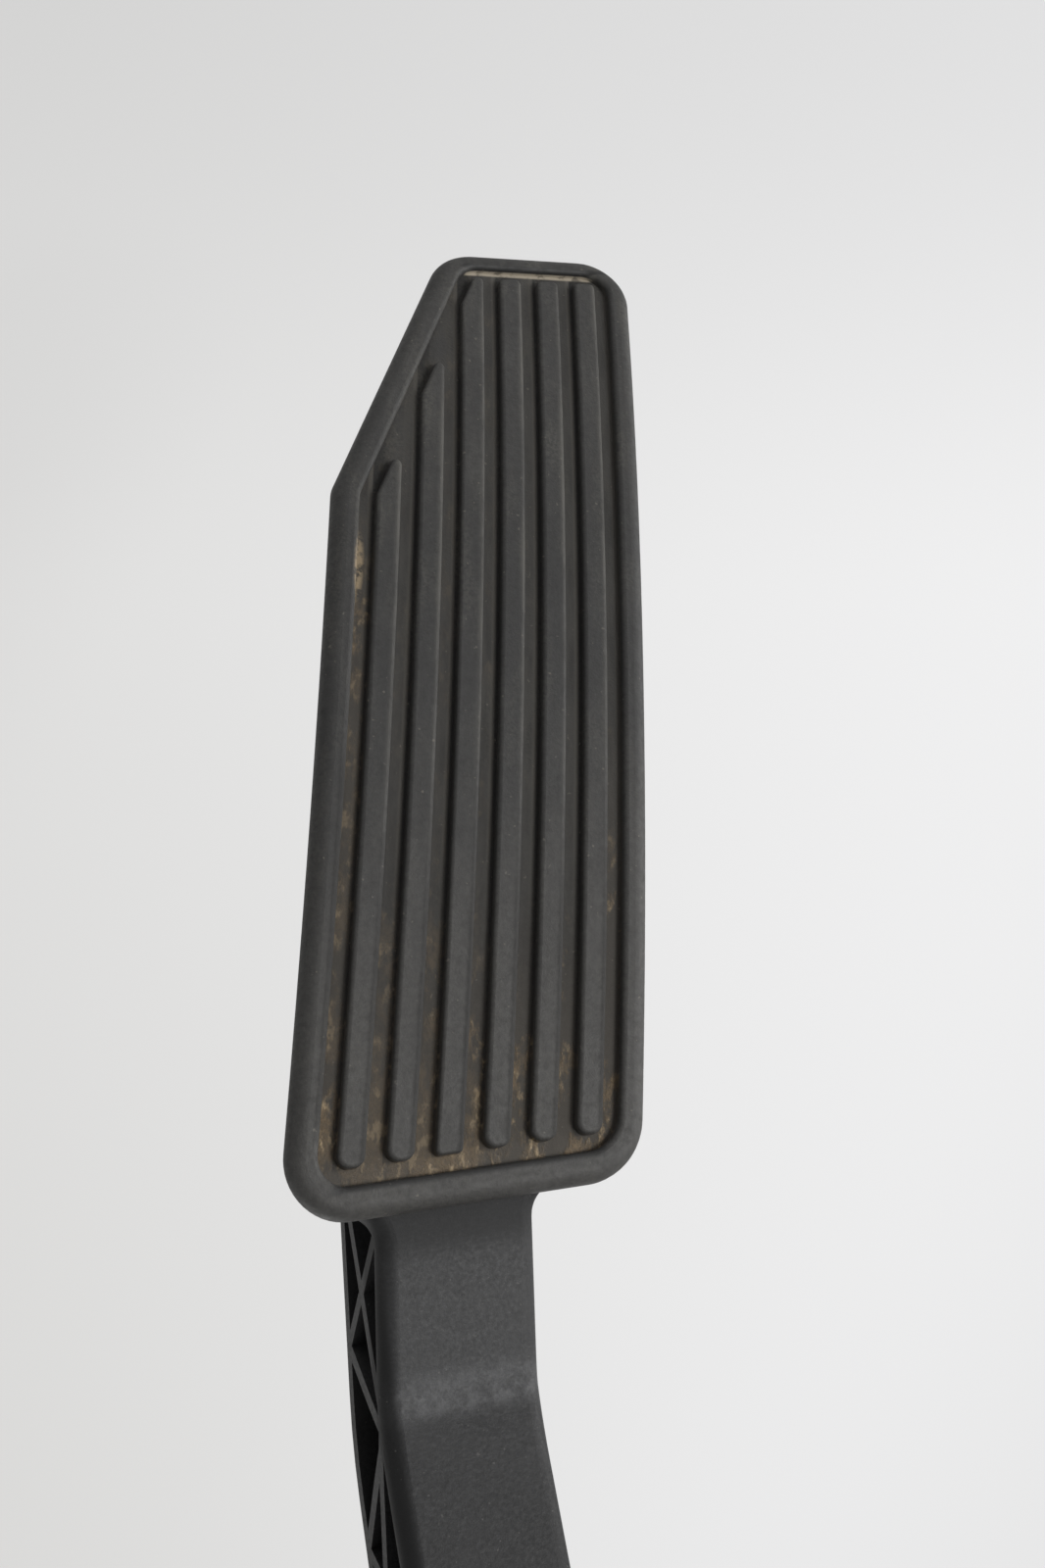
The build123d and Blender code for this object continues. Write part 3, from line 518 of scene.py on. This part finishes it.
arm = {
    "bend": (0.0, -0.1041, -0.0857),  # middle of the bend, on the face of the arm
    "toToe": (0, -0.46947, -0.88295),
    "outward": (0, -0.88295, 0.46947),
    "depth": 0.016,  # face to back at the bend
    "rearSlope": 0.1122,
    "dashStretch": (0.5, 1, 1),
    "specular": 0.25,
    "grainBump": (0.22, 0.0002),  # strength, distance
    "tones": {
        "base": (0.0125, 0.0125, 0.0129),
        "scuffed": (0.040, 0.040, 0.041),
        "wornAndLit": (0.088, 0.088, 0.090),
        "upper": (0.040, 0.040, 0.0405),
        "lower": (0.004, 0.004, 0.0041),
        "paintedShade": (0.010, 0.010, 0.010),
        "dust": (0.12, 0.115, 0.11),
    },
    "patterns": {  # field, scale, detail, roughness
        "cloud": ("point", 75, 4, 0.6),
        "grain": ("point", 1700, 3, 0.65),
        "dash": ("dashed", 2300, 3, 0.6),
        "chips": ("point", 620, 4, 0.7),
        "specks": ("point", 1500, 1, 0.4),
    },
    "layers": {
        "scuff": {"of": [("cloud", 0.38, 0.7), ("grain", 0.35, 0.65)], "share": 0.5, "tone": "scuffed"},
        "dashes": {"of": [("dash", 0.44, 0.68, 0.0, 0.45)], "tone": "scuffed"},
        "ridgeWearAndHighlight": {  # rubbed bend, with a painted highlight along it
            "of": [
                ("toToe", -0.0036, -0.0006),
                ("toToe", 0.0012, 0.0055, 1, 0),
                ("outward", -0.0045, -0.0025),
                ("chips", 0.36, 0.64, 0.3, 1.0),
            ],
            "share": 0.75,
            "tone": "wornAndLit",
        },
        # painted shade on the back edges of the arm
        "backEdgeShade": {
            "of": [("fromBack", 0.0018, 0.0028, 1, 0), ("toToe", 0.022, 0.026, 1, 0)],
            "share": 0.9,
            "tone": "paintedShade",
        },
        "sunk": {"of": [("offMiddle", 0.0082, 0.0098, 1, 0), ("outward", -0.0028, -0.0042)]},
        # painted shade in the lattice pockets
        "pocket": {"of": ["sunk", ("toToe", 0.018, 0.022, 1, 0)], "share": 0.6, "tone": "paintedShade"},
        # painted light: the neck above the bend is lighter
        "upper": {"of": [("toToe", -0.002, 0.008)], "share": 0.35, "tone": "upper"},
        # painted shade: the arm below the bend is darker
        "lower": {"of": [("toToe", -0.004, -0.026)], "share": 0.7, "tone": "lower"},
        # painted shade over the highlight on the near rounded edge of the arm; also rougher
        "nearEdgeShade": {
            "of": [("sideways", 0.0086, 0.0100), ("outward", -0.0045, -0.0025)],
            "share": 0.8,
            "tone": "lower",
        },
        # painted shadow of the pad on the top of the neck; also rougher
        "underPadShadow": {
            "of": [("toToe", 0.0165, 0.0225), ("outward", -0.0035, -0.0015)],
            "share": 0.55,
            "tone": "paintedShade",
        },
        "fleck": {"of": [("specks", 0.73, 0.80)], "share": 0.4, "tone": "dust"},
        "dull": {"how": "MAXIMUM", "of": ["underPadShadow", "nearEdgeShade"]},
        "duller": {"of": ["dull", 0.5]},
        "grime": {"how": "ADD", "of": ["grain", "duller"]},
        "rough": {"of": [("grime", 0.2, 0.9, 0.46, 0.66)]},
    },
}


def armFields(tree):
    point = objectPoint(tree)
    fromBend = mapped(tree, point, Location=[-value for value in arm["bend"]])
    toToe = along(tree, fromBend, arm["toToe"])
    outward = along(tree, fromBend, arm["outward"])
    sideways = along(tree, point, (1, 0, 0))
    fromBack = calc(tree, "SUBTRACT", outward, calc(tree, "MULTIPLY", toToe, arm["rearSlope"]))
    return {
        "point": point,
        "toToe": toToe,
        "outward": outward,
        "sideways": sideways,
        "offMiddle": calc(tree, "ABSOLUTE", sideways),
        "fromBack": calc(tree, "ADD", fromBack, arm["depth"]),
        "dashed": mapped(tree, point, Scale=arm["dashStretch"]),
    }


def makeArmPlastic():
    mat, tree, shader = newMaterial("armPlastic")
    on = armFields(tree)
    addPatterns(tree, on, arm["patterns"])
    colour = paint(tree, on, arm["layers"], arm["tones"])
    feed(tree, shader, colour, on["rough"], bump(tree, on["grain"], *arm["grainBump"]))
    shader.inputs["Specular IOR Level"].default_value = arm["specular"]
    return mat


plastics = {
    "specular": 0.42,
    "grainBump": (0.2, 0.0002),  # strength, distance
    "grainKind": (3, 0.65),  # detail, roughness
    "patterns": {  # field, scale, detail, roughness
        "cloud": ("point", 70, 4, 0.6),
        "specks": ("point", 1500, 1, 0.4),
    },
    "layers": {
        "scuff": {"of": [("cloud", 0.4, 0.7), ("grain", 0.35, 0.65)], "tone": "scuffed"},
        "fleck": {"of": [("specks", 0.72, 0.8)], "share": 0.5, "tone": "dust"},
        "rough": {"of": [("grain", 0.2, 0.8, 0.42, 0.58)]},
    },
    "kinds": {
        "housingPlastic": {
            "on": ["housing"],
            "grain": 2300,
            "base": (0.025, 0.025, 0.026),
            "scuffed": (0.042, 0.042, 0.044),
            "dust": (0.11, 0.11, 0.11),
        },
        "coverPlastic": {
            "on": ["side_cover", "sensor_cover"],
            "grain": 2600,
            "base": (0.020, 0.020, 0.021),
            "scuffed": (0.036, 0.036, 0.038),
            "dust": (0.10, 0.10, 0.10),
        },
        "shoeAcetal": {
            "on": ["friction_shoe"],
            "grain": 1900,
            "base": (0.56, 0.545, 0.50),
            "scuffed": (0.62, 0.61, 0.57),
            "dust": (0.38, 0.36, 0.32),
        },
        "rotorPlastic": {
            "on": ["sensor_rotor"],
            "grain": 2300,
            "base": (0.15, 0.155, 0.16),
            "scuffed": (0.20, 0.20, 0.21),
            "dust": (0.26, 0.26, 0.26),
        },
        "stopRubber": {
            "on": ["idle_stop", "full_stop"],
            "grain": 1500,
            "base": (0.020, 0.020, 0.020),
            "scuffed": (0.034, 0.034, 0.033),
            "dust": (0.09, 0.085, 0.08),
        },
        "gasketRubber": {
            "on": ["sensor_gasket"],
            "grain": 1500,
            "base": (0.050, 0.054, 0.060),
            "scuffed": (0.072, 0.077, 0.084),
            "dust": (0.12, 0.12, 0.12),
        },
        "chipEpoxy": {
            "on": ["hall_sensors"],
            "grain": 4200,
            "base": (0.022, 0.022, 0.024),
            "scuffed": (0.034, 0.034, 0.036),
            "dust": (0.08, 0.08, 0.08),
        },
    },
}


def makeGrainedPlastic(name, kind):
    mat, tree, shader = newMaterial(name)
    on = {"point": objectPoint(tree)}
    addPatterns(tree, on, plastics["patterns"])
    on["grain"] = noise(tree, on["point"], kind["grain"], *plastics["grainKind"])
    colour = paint(tree, on, plastics["layers"], kind)
    feed(tree, shader, colour, on["rough"], bump(tree, on["grain"], *plastics["grainBump"]))
    shader.inputs["Specular IOR Level"].default_value = plastics["specular"]
    return mat


metals = {
    "lineBump": (0.15, 0.0001),  # strength, distance
    "patterns": {  # field, scale, detail, roughness
        "lines": ("drawn", 1.0, 3, 0.6),
        "cloud": ("point", 160, 4, 0.6),
    },
    "layers": {
        "uneven": {"how": "ADD", "of": ["lines", "cloud"]},
        "bright": {"of": [("uneven", 0.7, 1.3)], "tone": "bright"},
    },
    "cloudRange": (0.3, 0.7),
    "kinds": {
        "axleSteel": {
            "on": ["pivot_axle", "axle_clip"],
            "bright": (0.62, 0.61, 0.60),
            "base": (0.46, 0.455, 0.45),
            "rough": (0.24, 0.36),
            "drawn": (2400, 60, 60),
            "metallic": 1.0,
        },
        "sleeveZinc": {
            "on": ["mount_sleeves", "side_cover_screws", "sensor_cover_screws"],
            "bright": (0.60, 0.60, 0.58),
            "base": (0.44, 0.44, 0.43),
            "rough": (0.32, 0.46),
            "drawn": (300, 300, 300),
            "metallic": 1.0,
        },
        "springWire": {
            "on": ["outer_spring", "inner_spring"],
            "bright": (0.40, 0.395, 0.39),
            "base": (0.22, 0.217, 0.215),
            "rough": (0.30, 0.44),
            "drawn": (700, 700, 700),
            "metallic": 1.0,
        },
        "bushBronze": {
            "on": ["right_bush", "left_bush"],
            "bright": (0.52, 0.36, 0.18),
            "base": (0.36, 0.24, 0.12),
            "rough": (0.34, 0.48),
            "drawn": (1600, 1600, 1600),
            "metallic": 1.0,
        },
        "pinTin": {
            "on": ["terminal_pins"],
            "bright": (0.74, 0.73, 0.70),
            "base": (0.58, 0.575, 0.56),
            "rough": (0.22, 0.34),
            "drawn": (500, 500, 500),
            "metallic": 1.0,
        },
        "magnetFerrite": {
            "on": ["sensor_magnet"],
            "bright": (0.060, 0.060, 0.064),
            "base": (0.038, 0.038, 0.040),
            "rough": (0.45, 0.60),
            "drawn": (2200, 2200, 2200),
            "metallic": 0.4,
        },
    },
}


def makeMetal(name, kind):
    mat, tree, shader = newMaterial(name)
    point = objectPoint(tree)
    on = {"point": point, "drawn": mapped(tree, point, Scale=kind["drawn"])}
    addPatterns(tree, on, metals["patterns"])
    colour = paint(tree, on, metals["layers"], kind)
    rough = fade(tree, on["cloud"], *metals["cloudRange"], *kind["rough"])
    feed(tree, shader, colour, rough, bump(tree, on["lines"], *metals["lineBump"]))
    shader.inputs["Metallic"].default_value = kind["metallic"]
    return mat


board = {
    "tracks": {"Scale": 1.0, "Mortar Size": 0.00022, "Brick Width": 0.0062, "Row Height": 0.0023},
    "pads": {"Scale": 260.0, "Randomness": 0.4},
    "trackBump": (0.3, 0.0001),  # strength, distance
    "tones": {"base": (0.012, 0.070, 0.030), "track": (0.030, 0.150, 0.062), "pad": (0.55, 0.53, 0.47)},
    "patterns": {"mist": ("point", 800, 3, 0.6)},  # field, scale, detail, roughness
    "layers": {
        "tracks": {"of": ["line"], "tone": "track"},
        "pads": {"of": [("cell", 0.14, 0.19, 1, 0)], "tone": "pad"},
        "rough": {"of": [("mist", 0.3, 0.7, 0.28, 0.42)]},
    },
}


def makeSensorBoard():
    mat, tree, shader = newMaterial("sensorBoard")
    point = objectPoint(tree)
    split = addNode(tree, "ShaderNodeSeparateXYZ", {0: point}).outputs
    flat = joined(tree, X=split["Y"], Y=split["Z"])
    on = {
        "point": point,
        "line": addNode(tree, "ShaderNodeTexBrick", {"Vector": flat, **board["tracks"]}).outputs["Fac"],
        "cell": addNode(tree, "ShaderNodeTexVoronoi", {"Vector": flat, **board["pads"]}).outputs["Distance"],
    }
    addPatterns(tree, on, board["patterns"])
    colour = paint(tree, on, board["layers"], board["tones"])
    feed(tree, shader, colour, on["rough"], bump(tree, on["line"], *board["trackBump"]))
    return mat


dress(makeTreadRubber(), "tread_pad")
dress(makeArmPlastic(), "pedal_arm")
finishes = {name: makeGrainedPlastic(name, kind) for name, kind in plastics["kinds"].items()}
finishes.update({name: makeMetal(name, kind) for name, kind in metals["kinds"].items()})
for name, kind in (*plastics["kinds"].items(), *metals["kinds"].items()):
    dress(finishes[name], *kind["on"])
dress(makeSensorBoard(), "sensor_board")
print("materials done")


def newTree(name, inputs, made):
    tree = bpy.data.node_groups.new(name, "GeometryNodeTree")
    for socket, kind in inputs.items():
        tree.interface.new_socket(name=socket, in_out="INPUT", socket_type="NodeSocket" + kind)
    tree.interface.new_socket(name=made, in_out="OUTPUT", socket_type="NodeSocketGeometry")
    return tree, addNode(tree, "NodeGroupInput").outputs


def moved(tree, mesh, **parts):
    return addNode(tree, "GeometryNodeSetPosition", {"Geometry": mesh, **parts}).outputs[0]


def cylinder(tree, **sizes):
    inputs = {name.replace("_", " "): value for name, value in sizes.items()}
    return addNode(tree, "GeometryNodeMeshCylinder", inputs).outputs["Mesh"]


def growPiece(name, places, tree, sizes):
    mesh = bpy.data.meshes.new(name + "Draft")
    mesh.from_pydata(places, [], [])
    draft = linkObject(name + "Draft", mesh)
    modifier = draft.modifiers.new(tree.name, "NODES")
    modifier.node_group = tree
    for item in tree.interface.items_tree:
        if item.in_out == "INPUT" and item.name in sizes:
            modifier[item.identifier] = sizes[item.name]
    made = bpy.data.meshes.new_from_object(draft.evaluated_get(bpy.context.evaluated_depsgraph_get()))
    bpy.data.objects.remove(draft)
    made.name = name
    print(name, len(made.vertices), "vertices")
    return linkObject(name, made)


screws = {
    "headRadius": 0.0031,
    "headHeight": 0.0022,
    "headSides": 48,
    "domeSteps": 10,
    "domeFrom": -0.1,  # of the head's height, from its middle
    "domeTop": 0.76,  # of the head's radius
    "shankRadius": 0.0015,
    "shankLength": 0.011,
    "shankSides": 32,
    "recessRadius": 0.0016,
    "recessDepth": 0.0013,
    "recessSides": 12,  # every other one is drawn in, for the star
    "recessWaist": (0.72, 0.72, 1),
    "seed": 7,  # how far each screw is turned
    "crispAngle": 0.5,  # radians, edges past it stay sharp
    "sideCover": {
        "seat": -0.0167,
        "turn": -90,
        "places": [(-0.0092, 0.02455), (-0.05936, 0.01736), (-0.0092, -0.04318), (-0.0296, -0.04318)],
    },
    "sensorCover": {
        "seat": 0.0313,
        "turn": 90,
        "places": [(-0.063, -0.019), (-0.063, 0.019), (-0.021, -0.019), (-0.021, 0.019)],
    },
}


def screwHead(tree, given, spot):
    head = cylinder(
        tree,
        Vertices=screws["headSides"],
        Side_Segments=screws["domeSteps"],
        Fill_Segments=1,
        Radius=given["Head Radius"],
        Depth=given["Head Height"],
    )
    split = addNode(tree, "ShaderNodeSeparateXYZ", {0: spot}).outputs
    low = calc(tree, "MULTIPLY", given["Head Height"], screws["domeFrom"])
    high = calc(tree, "MULTIPLY", given["Head Height"], 0.5)
    rounding = fade(tree, split["Z"], low, high, 1.0, screws["domeTop"])
    x = calc(tree, "MULTIPLY", split["X"], rounding)
    y = calc(tree, "MULTIPLY", split["Y"], rounding)
    return moved(tree, head, Position=joined(tree, X=x, Y=y, Z=calc(tree, "ADD", split["Z"], high)))


def screwRecess(tree, given, spot):
    recess = cylinder(
        tree,
        Vertices=screws["recessSides"],
        Radius=given["Recess Radius"],
        Depth=calc(tree, "MULTIPLY", given["Recess Depth"], 2.0),
    )
    everyOther = calc(tree, "MODULO", addNode(tree, "GeometryNodeInputIndex").outputs[0], 2.0)
    drawnIn = {0: spot, 1: screws["recessWaist"]}
    waist = addNode(tree, "ShaderNodeVectorMath", drawnIn, operation="MULTIPLY").outputs[0]
    recess = moved(tree, recess, Selection=everyOther, Position=waist)
    return moved(tree, recess, Offset=joined(tree, Z=given["Head Height"]))


def screwShank(tree, given):
    shank = cylinder(
        tree,
        Vertices=screws["shankSides"],
        Radius=given["Shank Radius"],
        Depth=given["Shank Length"],
    )
    drop = calc(tree, "MULTIPLY", given["Shank Length"], -0.5)
    return moved(tree, shank, Offset=joined(tree, Z=drop))


def screwTree():
    inputs = {"Places": "Geometry"}
    for name in ("Head Radius", "Head Height", "Shank Radius", "Shank Length", "Recess Radius", "Recess Depth", "Turn"):
        inputs[name] = "Float"
    inputs["Finish"] = "Material"
    tree, given = newTree("coverScrew", inputs, "Screws")
    spot = addNode(tree, "GeometryNodeInputPosition").outputs[0]
    parts = {"Mesh 1": screwHead(tree, given, spot), "Mesh 2": screwRecess(tree, given, spot)}
    carved = addNode(tree, "GeometryNodeMeshBoolean", parts, operation="DIFFERENCE", solver="EXACT")
    screw = addNode(tree, "GeometryNodeJoinGeometry", {0: carved.outputs["Mesh"]})
    tree.links.new(screwShank(tree, given), screw.inputs[0])

    rows = {"Points": given["Places"], "Instance": screw.outputs[0], "Rotation": joined(tree, Y=given["Turn"])}
    placed = addNode(tree, "GeometryNodeInstanceOnPoints", rows).outputs[0]
    spin = addNode(tree, "FunctionNodeRandomValue", {"Seed": screws["seed"]}, data_type="FLOAT").outputs[1]
    spun = {"Instances": placed, "Rotation": joined(tree, Z=spin), "Local Space": True}
    placed = addNode(tree, "GeometryNodeRotateInstances", spun).outputs[0]
    solid = addNode(tree, "GeometryNodeRealizeInstances", {"Geometry": placed}).outputs[0]
    smooth = addNode(tree, "GeometryNodeSetShadeSmooth", {"Geometry": solid}).outputs[0]
    angle = {0: addNode(tree, "GeometryNodeInputMeshEdgeAngle").outputs[0], 1: screws["crispAngle"]}
    steep = addNode(tree, "FunctionNodeCompare", angle, operation="GREATER_THAN").outputs[0]
    edges = {"Geometry": smooth, "Selection": steep, "Shade Smooth": False}
    crisp = addNode(tree, "GeometryNodeSetShadeSmooth", edges, domain="EDGE").outputs[0]
    coated = addNode(tree, "GeometryNodeSetMaterial", {"Geometry": crisp, "Material": given["Finish"]}).outputs[0]
    addNode(tree, "NodeGroupOutput", {0: coated})
    return tree


def driveScrews(name, row, tree, node):
    sizes = {
        "Head Radius": screws["headRadius"],
        "Head Height": screws["headHeight"],
        "Shank Radius": screws["shankRadius"],
        "Shank Length": screws["shankLength"],
        "Recess Radius": screws["recessRadius"],
        "Recess Depth": screws["recessDepth"],
        "Turn": math.radians(row["turn"]),
        "Finish": finishes["sleeveZinc"],
    }
    piece = growPiece(name, [(row["seat"], y, z) for y, z in row["places"]], tree, sizes)
    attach(piece, "housing")
    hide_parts(node)


coverScrew = screwTree()
driveScrews("sideCoverScrews", screws["sideCover"], coverScrew, "side_cover_screws")
driveScrews("sensorCoverScrews", screws["sensorCover"], coverScrew, "sensor_cover_screws")
print("screws done")

springs = {
    "seat": (0.0, -0.005, -0.0277275),  # middle of the seat on the housing
    "length": 0.02952,
    "press": 0.0078,  # the shoe's travel
    "stepsPerTurn": 40.0,
    "wireSides": 16,
    "outer": {"coil": 0.0086, "wire": 0.0010, "turns": 5.5},
    "inner": {"coil": 0.0052, "wire": 0.00075, "turns": 6.5},
}


def springTree():
    inputs = {name: "Float" for name in ("Coil Radius", "Wire Radius", "Turns", "Length")}
    inputs.update({"Seat": "Vector", "Finish": "Material"})
    tree, given = newTree("returnSpring", inputs, "Spring")
    line = addNode(tree, "GeometryNodeCurvePrimitiveLine").outputs["Curve"]
    count = calc(tree, "MULTIPLY", given["Turns"], springs["stepsPerTurn"])
    path = addNode(tree, "GeometryNodeResampleCurve", {"Curve": line, "Count": count}).outputs[0]

    share = addNode(tree, "GeometryNodeSplineParameter").outputs["Factor"]
    turned = calc(tree, "MULTIPLY", share, given["Turns"])
    fromEnd = calc(tree, "SUBTRACT", given["Turns"], turned)
    firstTurn = calc(tree, "MINIMUM", turned, 1.0)
    lastTurn = calc(tree, "SUBTRACT", 1.0, calc(tree, "MINIMUM", fromEnd, 1.0))
    endTurns = calc(tree, "ADD", firstTurn, lastTurn)
    closed = calc(tree, "MULTIPLY", given["Wire Radius"], 2.0)  # rise of the closed turn at each end
    openTurns = calc(tree, "SUBTRACT", given["Turns"], 2.0)
    opened = calc(tree, "SUBTRACT", turned, endTurns)
    ends = calc(tree, "MULTIPLY", given["Wire Radius"], 6.0)  # both closed turns and the wire itself
    openLength = calc(tree, "SUBTRACT", given["Length"], ends)
    rise = calc(tree, "MULTIPLY", calc(tree, "DIVIDE", opened, openTurns), openLength)
    rise = calc(tree, "MULTIPLY_ADD", endTurns, closed, rise)
    rise = calc(tree, "ADD", rise, given["Wire Radius"])
    angle = calc(tree, "MULTIPLY", turned, 2 * math.pi)
    x = calc(tree, "MULTIPLY", calc(tree, "COSINE", angle), given["Coil Radius"])
    z = calc(tree, "MULTIPLY", calc(tree, "SINE", angle), given["Coil Radius"])
    spot = joined(tree, X=x, Y=calc(tree, "MULTIPLY", rise, -1.0), Z=z)
    spot = addNode(tree, "ShaderNodeVectorMath", {0: spot, 1: given["Seat"]}, operation="ADD").outputs[0]
    path = moved(tree, path, Position=spot)

    section = {"Resolution": springs["wireSides"], "Radius": given["Wire Radius"]}
    ring = addNode(tree, "GeometryNodeCurvePrimitiveCircle", section).outputs["Curve"]
    swept = {"Curve": path, "Profile Curve": ring, "Fill Caps": True}
    wire = addNode(tree, "GeometryNodeCurveToMesh", swept).outputs[0]
    smooth = addNode(tree, "GeometryNodeSetShadeSmooth", {"Geometry": wire}).outputs[0]
    solid = addNode(tree, "GeometryNodeRealizeInstances", {"Geometry": smooth}).outputs[0]
    coated = addNode(tree, "GeometryNodeSetMaterial", {"Geometry": solid, "Material": given["Finish"]}).outputs[0]
    addNode(tree, "NodeGroupOutput", {0: coated})
    return tree


def windSpring(name, size, tree, node):
    sizes = {
        "Coil Radius": size["coil"],
        "Wire Radius": size["wire"],
        "Turns": size["turns"],
        "Length": springs["length"],
        "Seat": springs["seat"],
        "Finish": finishes["springWire"],
    }
    piece = growPiece(name, [], tree, sizes)
    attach(piece, "housing")
    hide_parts(node)
    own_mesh(piece)  # a mesh of its own; the shoe presses the real spring short


returnSpring = springTree()
windSpring("outerReturnSpring", springs["outer"], returnSpring, "outer_spring")
windSpring("innerReturnSpring", springs["inner"], returnSpring, "inner_spring")
print("springs done")
